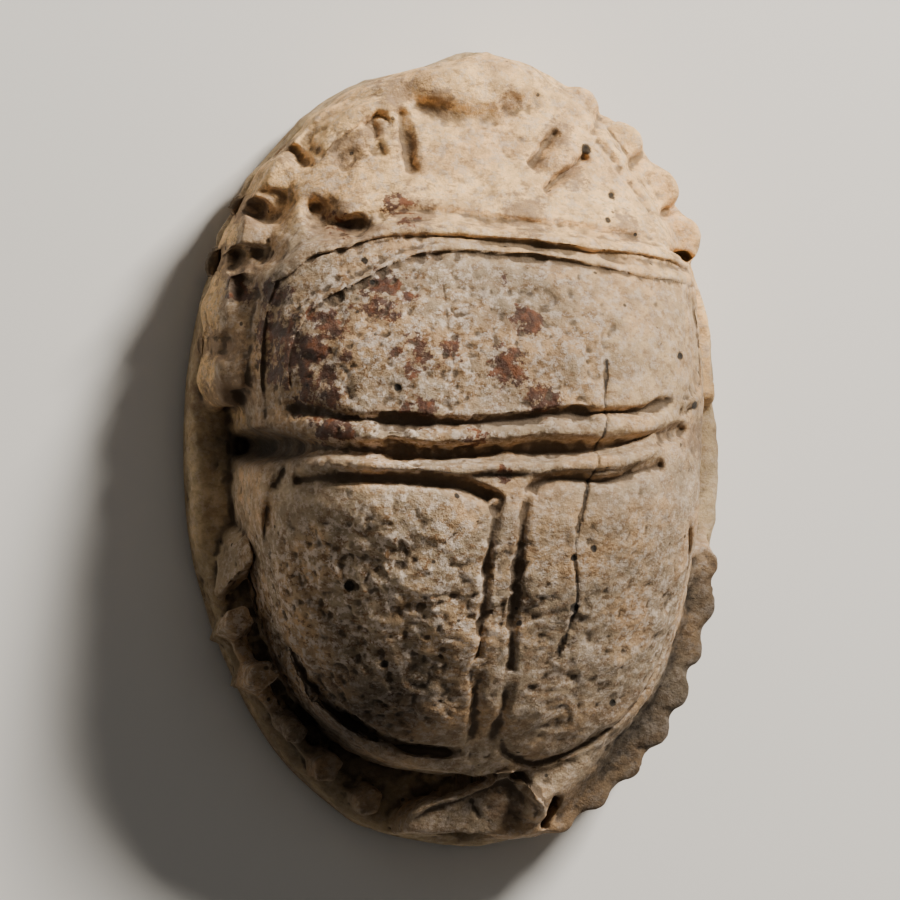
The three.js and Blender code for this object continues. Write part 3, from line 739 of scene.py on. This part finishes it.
class Paint:
    # one material's node tree
    def __init__(self, name):
        self.material = bpy.data.materials.new(name)
        self.material.use_nodes = True
        self.nodes = self.material.node_tree.nodes
        self.links = self.material.node_tree.links
        self.shader = self.nodes["Principled BSDF"]

    def put(self, socket, value):
        if isinstance(value, Wire):
            self.links.new(value.socket, socket)
        elif isinstance(value, tuple) and socket.type == "RGBA":
            socket.default_value = (*value, 1)[:4]
        else:
            socket.default_value = value

    def node(self, kind, settings, *values, output=0, **named):
        made = self.nodes.new(kind)
        for key, value in settings.items():
            setattr(made, key, value)
        sockets = [socket for socket in made.inputs if socket.enabled]
        for socket, value in zip(sockets, values):
            self.put(socket, value)
        for key, value in named.items():
            self.put(next(s for s in sockets if s.name == key.replace("_", " ")), value)
        results = [socket for socket in made.outputs if socket.enabled]
        return Wire(self, results[output])

    def mix(self, share, first, second):
        return self.node("ShaderNodeMix", {"data_type": "RGBA"}, Factor=share, A=first, B=second)

    def shade(self, colour, amount):
        # colour made lighter or darker by a number
        return self.node("ShaderNodeVectorMath", {"operation": "SCALE"}, colour, Scale=amount)

    def noise(self, where, size, detail=3.0, rough=0.55):
        return self.node("ShaderNodeTexNoise", {}, Vector=where, Scale=1 / size, Detail=detail,
            Roughness=rough)

    def shifted(self, where, by):
        return self.node("ShaderNodeVectorMath", {"operation": "ADD"}, where, by)

    def attribute(self, name):
        return self.node("ShaderNodeAttribute", {"attribute_name": name}, output=2)

stone = {
    "cream": (0.93, 0.60, 0.28),
    "peach": (0.72, 0.42, 0.19),
    "grey": (0.375, 0.28, 0.18),
    "lilac": (0.66, 0.54, 0.44),
    "brown": (0.165, 0.085, 0.034),
    "olive": (0.46, 0.34, 0.19),
    # colour of the dirt and painted shade in the hollows
    "hollowDirtAndShade": (0.085, 0.058, 0.036),
    "glazeRed": (0.055, 0.014, 0.006),
    "glazeAmber": (0.16, 0.045, 0.012),
    "stain": (0.27, 0.172, 0.1),
    "black": (0.018, 0.015, 0.012),
    "roughness": 0.72,
    "glazeRoughness": 0.38,
    "bump": 0.7,
    "bumpHeight": 0.00016,
    "bend": 1.5,
    "shine": 0.35,
}

def makeSteatite():
    paint = Paint("worn steatite")
    place = paint.node("ShaderNodeTexCoord", {}, output=3)
    place = paint.node("ShaderNodeVectorMath", {"operation": "SCALE"}, place, Scale=1000.0)
    read = paint.attribute
    cream, speckle, glaze = read("cream"), read("speckle"), read("glaze")
    hollow, broad, yellow = read("hollow"), read("broadHollow"), read("yellow")
    # body colour: cream on the head and legs, grey beige on the back, yellower on the slab
    cloud = paint.noise(place, 1.7, 4.0)
    body = paint.mix(cream, stone["grey"], stone["cream"])
    body = paint.mix(cloud.over(0.42, 0.66) * 0.5, body, stone["peach"])
    body = paint.mix(yellow, body, stone["olive"])
    tone = paint.noise(paint.shifted(place, (7.0, 3.0, 1.0)), 0.55, 6.0, 0.7)
    body = paint.shade(body, 0.7 + 0.52 * tone.over(0.3, 0.7))
    # warm brown clouding, then brown specks and pale deposits, dense on the rough places
    brownish = paint.noise(paint.shifted(place, (21.0, 6.0, 2.0)), 0.95, 7.0, 0.72)
    body = paint.mix(brownish.over(0.47, 0.66) * (0.44 + 0.25 * speckle), body, stone["stain"])
    drawn = paint.node("ShaderNodeVectorMath", {"operation": "MULTIPLY"}, place, (1.0, 1.5, 1.0))
    spot = paint.noise(paint.shifted(drawn, (3.0, 11.0, 5.0)), 0.3, 8.0, 0.76)
    body = paint.mix(spot.over(0.5, 0.59) * (0.2 + 0.75 * speckle), body, stone["brown"])
    crust = paint.noise(paint.shifted(place, (13.0, 2.0, 9.0)), 0.24, 8.0, 0.76)
    body = paint.mix(crust.over(0.49, 0.58) * (0.12 + 0.8 * speckle), body, stone["lilac"])
    stained = (spot + 0.3 * read("stain")).over(0.6, 0.78)
    body = paint.mix(stained * 0.75, body, stone["stain"])
    # remains of the fired glaze
    patch = paint.noise(paint.shifted(place, (1.0, 17.0, 4.0)), 0.42, 8.0, 0.72)
    left = (patch + 0.32 * glaze).over(0.74, 0.8)
    hue = paint.noise(place, 0.3, 5.0)
    body = paint.mix(left * 0.92, body, paint.mix(hue.over(0.45, 0.65), stone["glazeRed"],
            stone["glazeAmber"]))
    # dirt and painted shade in the hollows, thinner on the pale head
    grimeAndShade = (hollow * (0.5 + 1.0 * tone)).over(0.1, 0.8) * (1 - 0.2 * cream)
    body = paint.mix(grimeAndShade * 0.85, body, stone["hollowDirtAndShade"])
    body = paint.mix(broad.over(0.25, 1.0) * (0.6 - 0.35 * cream), body, stone["hollowDirtAndShade"])
    # painted light and shade, partly staining: the colour made darker or lighter in the listed places
    body = paint.shade(body, 1 - 0.45 * read("paintedLightAndStain"))
    # crack and the black mineral specks
    upper = read("upper")
    split = read("crackGap") + 0.16 * (cloud - 0.45) + 0.05 * (tone - 0.5)
    body = paint.mix(split.over(0.055, 0.015) * upper * 0.85, body, stone["black"])
    nearest = None
    for x, y, radius in specks:
        offset = paint.shifted(place, (-x, -y, 0.0))
        flat = paint.node("ShaderNodeVectorMath", {"operation": "MULTIPLY"}, offset, (1.0, 1.0, 0.0))
        gap = paint.node("ShaderNodeVectorMath", {"operation": "LENGTH"}, flat, output=0) / radius
        nearest = gap if nearest is None else nearest.least(gap)
    ragged = nearest + 1.6 * (tone - 0.5) + 0.9 * (spot - 0.5)
    body = paint.mix(ragged.over(0.95, 0.6) * upper * 0.93, body, stone["black"])
    grit = paint.node("ShaderNodeTexVoronoi", {}, Vector=place, Scale=1.15)
    body = paint.mix(grit.over(0.075, 0.05) * 0.8, body, stone["black"])
    paint.put(paint.shader.inputs["Base Color"], body)
    rough = stone["roughness"] + 0.16 * tone - (stone["roughness"] - stone["glazeRoughness"]) * left
    paint.put(paint.shader.inputs["Roughness"], rough)
    # fine pitting in the finish
    pits = paint.noise(paint.shifted(place, (5.0, 5.0, 2.0)), 0.16, 5.0, 0.7)
    dents = paint.noise(place, 0.07, 2.0)
    relief = (0.4 + 0.6 * speckle) * (pits + 0.5 * spot + 0.3 * crust) + 0.12 * dents
    relief = relief - 0.35 * read("crackGap").over(0.07, 0.01)
    bump = paint.node("ShaderNodeBump", {}, Strength=stone["bump"], Distance=stone["bumpHeight"],
                      Height=relief)
    paint.put(paint.shader.inputs["Normal"], bump)
    paint.put(paint.shader.inputs["IOR"], stone["bend"])
    paint.put(paint.shader.inputs["Specular IOR Level"], stone["shine"])
    return paint.material

# where glaze is left: centre and reach
glazeLeft = [
    (-4.75, 2.2, 1.6), (-5.3, 3.0, 0.9), (-4.2, 3.1, 1.0), (-5.35, 3.9, 0.8), (-4.6, 1.3, 0.9),
    (-2.9, 3.8, 1.1), (-2.3, 2.3, 0.9), (-1.4, 2.35, 0.7), (0.1, 2.0, 1.0), (0.55, 3.2, 0.7),
    (0.15, 4.25, 0.4), (0.9, 1.2, 0.8), (-3.6, 5.6, 0.6), (-2.1, 5.95, 0.8), (-5.95, 4.1, 0.6),
    (-2.2, 0.9, 0.8), (-0.9, 0.3, 0.6), (-4.2, 0.5, 0.8), (-0.2, -0.6, 0.4),
]

# brown stains on the pale head and legs
stains = [
    (-1.9, 9.0, 0.7), (-0.9, 8.75, 0.6), (0.95, 8.8, 0.5), (2.1, 7.9, 0.6), (1.5, 7.2, 0.4),
    (2.3, 6.9, 0.6), (-1.75, 7.6, 0.6), (-2.5, 8.1, 0.5), (-3.3, 7.5, 0.7), (-1.9, 5.95, 0.9),
    (-3.8, 5.7, 0.9), (-3.1, 5.5, 0.6), (-5.5, 6.0, 0.7), (-6.0, 4.7, 0.7), (-6.3, 2.6, 0.6),
    (-4.6, 7.5, 0.5), (1.0, 5.9, 0.8), (3.6, 5.6, 0.6), (-6.2, 1.4, 0.8), (0.9, -9.1, 0.5),
    (6.5, -2.9, 0.3), (5.3, 0.3, 0.7),
]

# places painted darker (above 0) or lighter (below 0) than the rest, partly brown staining and partly painted
# light and shade: painted shade in the waist's left notch and on the low left wing case, painted light on the
# upper left wing case; centre, reach and amount
paintedLightAndStainSpots = [
    (-2.9, -3.1, 2.8, -0.95), (-2.6, -6.4, 1.9, 1.3), (-4.3, -4.9, 1.3, 0.6), (-3.2, -0.3, 1.7, -0.9),
    (-6.5, -1.0, 1.8, -0.9), (0.4, -9.2, 1.3, 0.8), (-4.6, -7.6, 2.2, 1.0), (-2.6, -9.0, 1.4, 0.8),
    (-5.6, -5.2, 1.2, 0.5), (0.6, 2.9, 2.4, 0.5), (3.4, 2.6, 2.2, 0.3), (-5.9, 0.1, 0.8, 1.5),
    (-5.4, 0.0, 0.6, 1.2), (-4.9, 0.02, 0.5, 1.2), (6.3, 1.0, 2.2, 0.85), (3.0, -2.8, 2.4, 0.4),
    (3.2, -6.6, 1.8, 0.3),
]

def blot(points, x, y, reach):
    return smooth(reach * 1.25, reach * 0.2, np.hypot(points[:, 0] - x, points[:, 1] - y))

def spread(points, spots):
    total = np.zeros(len(points))
    for spot in spots:
        total = np.maximum(total, blot(points, *spot))
    return total

def paintGuides(mesh):
    # soft masks that the finish reads, worked out where each vertex ends up
    points, normals = meshArrays(mesh)
    x, y, z = points.T
    mean = [neighbourMean(mesh, points[:, i].copy(), 3) for i in range(3)]
    near = sum((mean[i] - points[:, i]) * normals[:, i] for i in range(3))
    mean = [neighbourMean(mesh, mean[i], 45) for i in range(3)]
    wide = sum((mean[i] - points[:, i]) * normals[:, i] for i in range(3))
    head = smooth(4.4, 6.0, y + 0.12 * x)
    onLegs = smooth(3.6, 3.2, z) * smooth(1.7, 1.9, z) * smooth(-1.0, 1.5, y)
    rightSide = smooth(0.5, 4.5, x) * smooth(-1.0, 1.0, y)
    behind = smooth(1.0, 3.5, x) * smooth(-2.0, -3.5, y) * smooth(4.2, 3.4, z)
    addAttribute(mesh, "cream", np.clip(np.maximum(head, onLegs * 0.9) + 0.3 * rightSide, 0, 1))
    addAttribute(mesh, "speckle", roughnessAt(points) * (0.35 + 0.65 * smooth(1.9, 2.6, z)))
    upper = smooth(0.8, 1.6, z)
    addAttribute(mesh, "upper", upper)
    addAttribute(mesh, "stain", spread(points, stains) * upper)
    addAttribute(mesh, "glaze", spread(points, glazeLeft) * upper)
    # how deep each vertex lies in a narrow and a broad hollow, read for dirt and painted shade
    addAttribute(mesh, "hollow", np.clip(near / 0.03, 0, 1))
    addAttribute(mesh, "broadHollow", np.clip(wide / 0.16, 0, 1))
    # painted shade and staining: darker at the right hind leg and in the listed spots, with painted light
    # where a spot goes below 0
    paintedLightAndStain = 1.6 * behind
    for *spot, amount in paintedLightAndStainSpots:
        paintedLightAndStain += amount * blot(points, *spot)
    addAttribute(mesh, "paintedLightAndStain", np.clip(paintedLightAndStain, -1.1, 1.8) * upper)
    addAttribute(mesh, "yellow", smooth(2.1, 1.7, z) * 0.8)
    addAttribute(mesh, "crackGap", toLine(x + 0.03 * lumps(points, 0.3, 60), y, crack, 0.5)[0])

def makeScarab():
    material = makeSteatite()
    piece = makeStone(material)
    piece.name = "scarab_carving"
    softenLegs(piece.data)
    putPoints(piece.data, carve(meshArrays(piece.data)[0]))
    points, normals = meshArrays(piece.data)
    putPoints(piece.data, engrave(wear(points, normals)))
    softenNotch(piece.data)
    triangles = 2 * len(piece.data.polygons)
    applied(piece, "thin", "DECIMATE", ratio=min(1.0, mesher["mostTriangles"] / triangles))
    print("carved", triangles, "kept", len(piece.data.polygons))
    mesh = piece.data
    paintGuides(mesh)
    points = meshArrays(mesh)[0]
    putPoints(mesh, points * mm)
    mesh.materials.clear()
    mesh.materials.append(material)
    mesh.shade_smooth()
    return piece

scarab = makeScarab()
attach(scarab, "root")
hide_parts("scarab")
print("scarab placed")

studio = {
    "floorSize": 1.2, "floorColour": (0.78, 0.77, 0.75),
    "tilt": math.radians(11), "distance": 0.26, "aimHeight": 0.001, "viewHalf": 0.011436,
    "keyPlace": (0.072, 0.09, 0.098), "keySize": 0.034, "keyPower": 0.47,
    "fillPlace": (0.0, 0.05, 0.35), "fillSize": 0.3, "fillPower": 0.1,
    "lightColour": (1.0, 0.94, 0.85),
    "world": (0.52, 0.5, 0.48), "worldStrength": 0.09,
}

def makeFloor():
    size = studio["floorSize"] / 2
    floor = newObject("floor", [(-size, -size, 0), (size, -size, 0), (size, size, 0), (-size, size, 0)],
                      [(0, 1, 2, 3)])
    paint = Paint("pale floor")
    place = paint.node("ShaderNodeTexCoord", {}, output=3)
    tone = paint.noise(place, 0.05, 2.0)
    paint.put(paint.shader.inputs["Base Color"], paint.shade(studio["floorColour"], 0.98 + 0.04 * tone))
    paint.put(paint.shader.inputs["Roughness"], 0.9)
    floor.data.materials.append(paint.material)

def makeLight(name, place, size, power, aim=(0, 0, 0.004)):
    light = bpy.data.lights.new(name, "AREA")
    light.color = studio["lightColour"]
    light.size, light.energy = size, power
    lamp = bpy.data.objects.new(name, light)
    bpy.context.scene.collection.objects.link(lamp)
    lamp.location = place
    lamp.rotation_euler = (Vector(aim) - Vector(place)).to_track_quat("-Z", "Y").to_euler()

def makeCamera():
    camera = bpy.data.cameras.new("camera")
    tripod = bpy.data.objects.new("camera", camera)
    bpy.context.scene.collection.objects.link(tripod)
    tilt, distance = studio["tilt"], studio["distance"]
    tripod.location = (-distance * math.sin(tilt), 0, studio["aimHeight"] + distance * math.cos(tilt))
    tripod.rotation_euler = (0, -tilt, 0)
    camera.lens = camera.sensor_width / 2 * distance / studio["viewHalf"]
    camera.clip_start = 0.005
    bpy.context.scene.camera = tripod

makeFloor()
makeLight("key", studio["keyPlace"], studio["keySize"], studio["keyPower"])
makeLight("fill", studio["fillPlace"], studio["fillSize"], studio["fillPower"])
world = bpy.data.worlds.new("studio")
world.use_nodes = True
world.node_tree.nodes["Background"].inputs["Color"].default_value = (*studio["world"], 1)
world.node_tree.nodes["Background"].inputs["Strength"].default_value = studio["worldStrength"]
bpy.context.scene.world = world
makeCamera()
print("studio ready")
